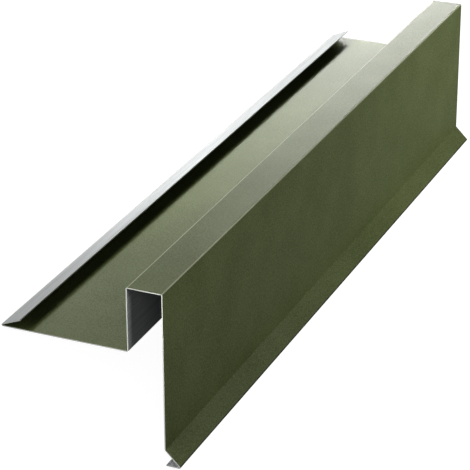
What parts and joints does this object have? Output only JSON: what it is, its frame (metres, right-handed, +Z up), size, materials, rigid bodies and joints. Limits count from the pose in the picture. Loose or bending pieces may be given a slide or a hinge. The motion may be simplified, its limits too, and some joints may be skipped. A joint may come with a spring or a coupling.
{
  "type": "verge trim",
  "caption": "Folded sheet-steel verge trim with a roof flange and turned lip, a raised cap, a deep fascia and a kicked-out drip edge.",
  "frame": {"origin": "centre of the bounding box on the floor that the strip lies on", "axes": "+Y along the folds, away from the end that the picture shows near; +Z up from the floor; +X towards the fascia. The strip lies unheld on the fold of its lip and the free edge of its return, so the roof flange slopes 33.9 degrees down towards -X."},
  "size_m": [0.1464, 0.583, 0.1003],
  "materials": {
    "coated_sheet": "matt fine-textured olive green coat on the weather face, light grey coat on the reverse"
  },
  "bodies": {
    "root": {"verge_trim": "coated_sheet"}
  },
  "joints": []
}
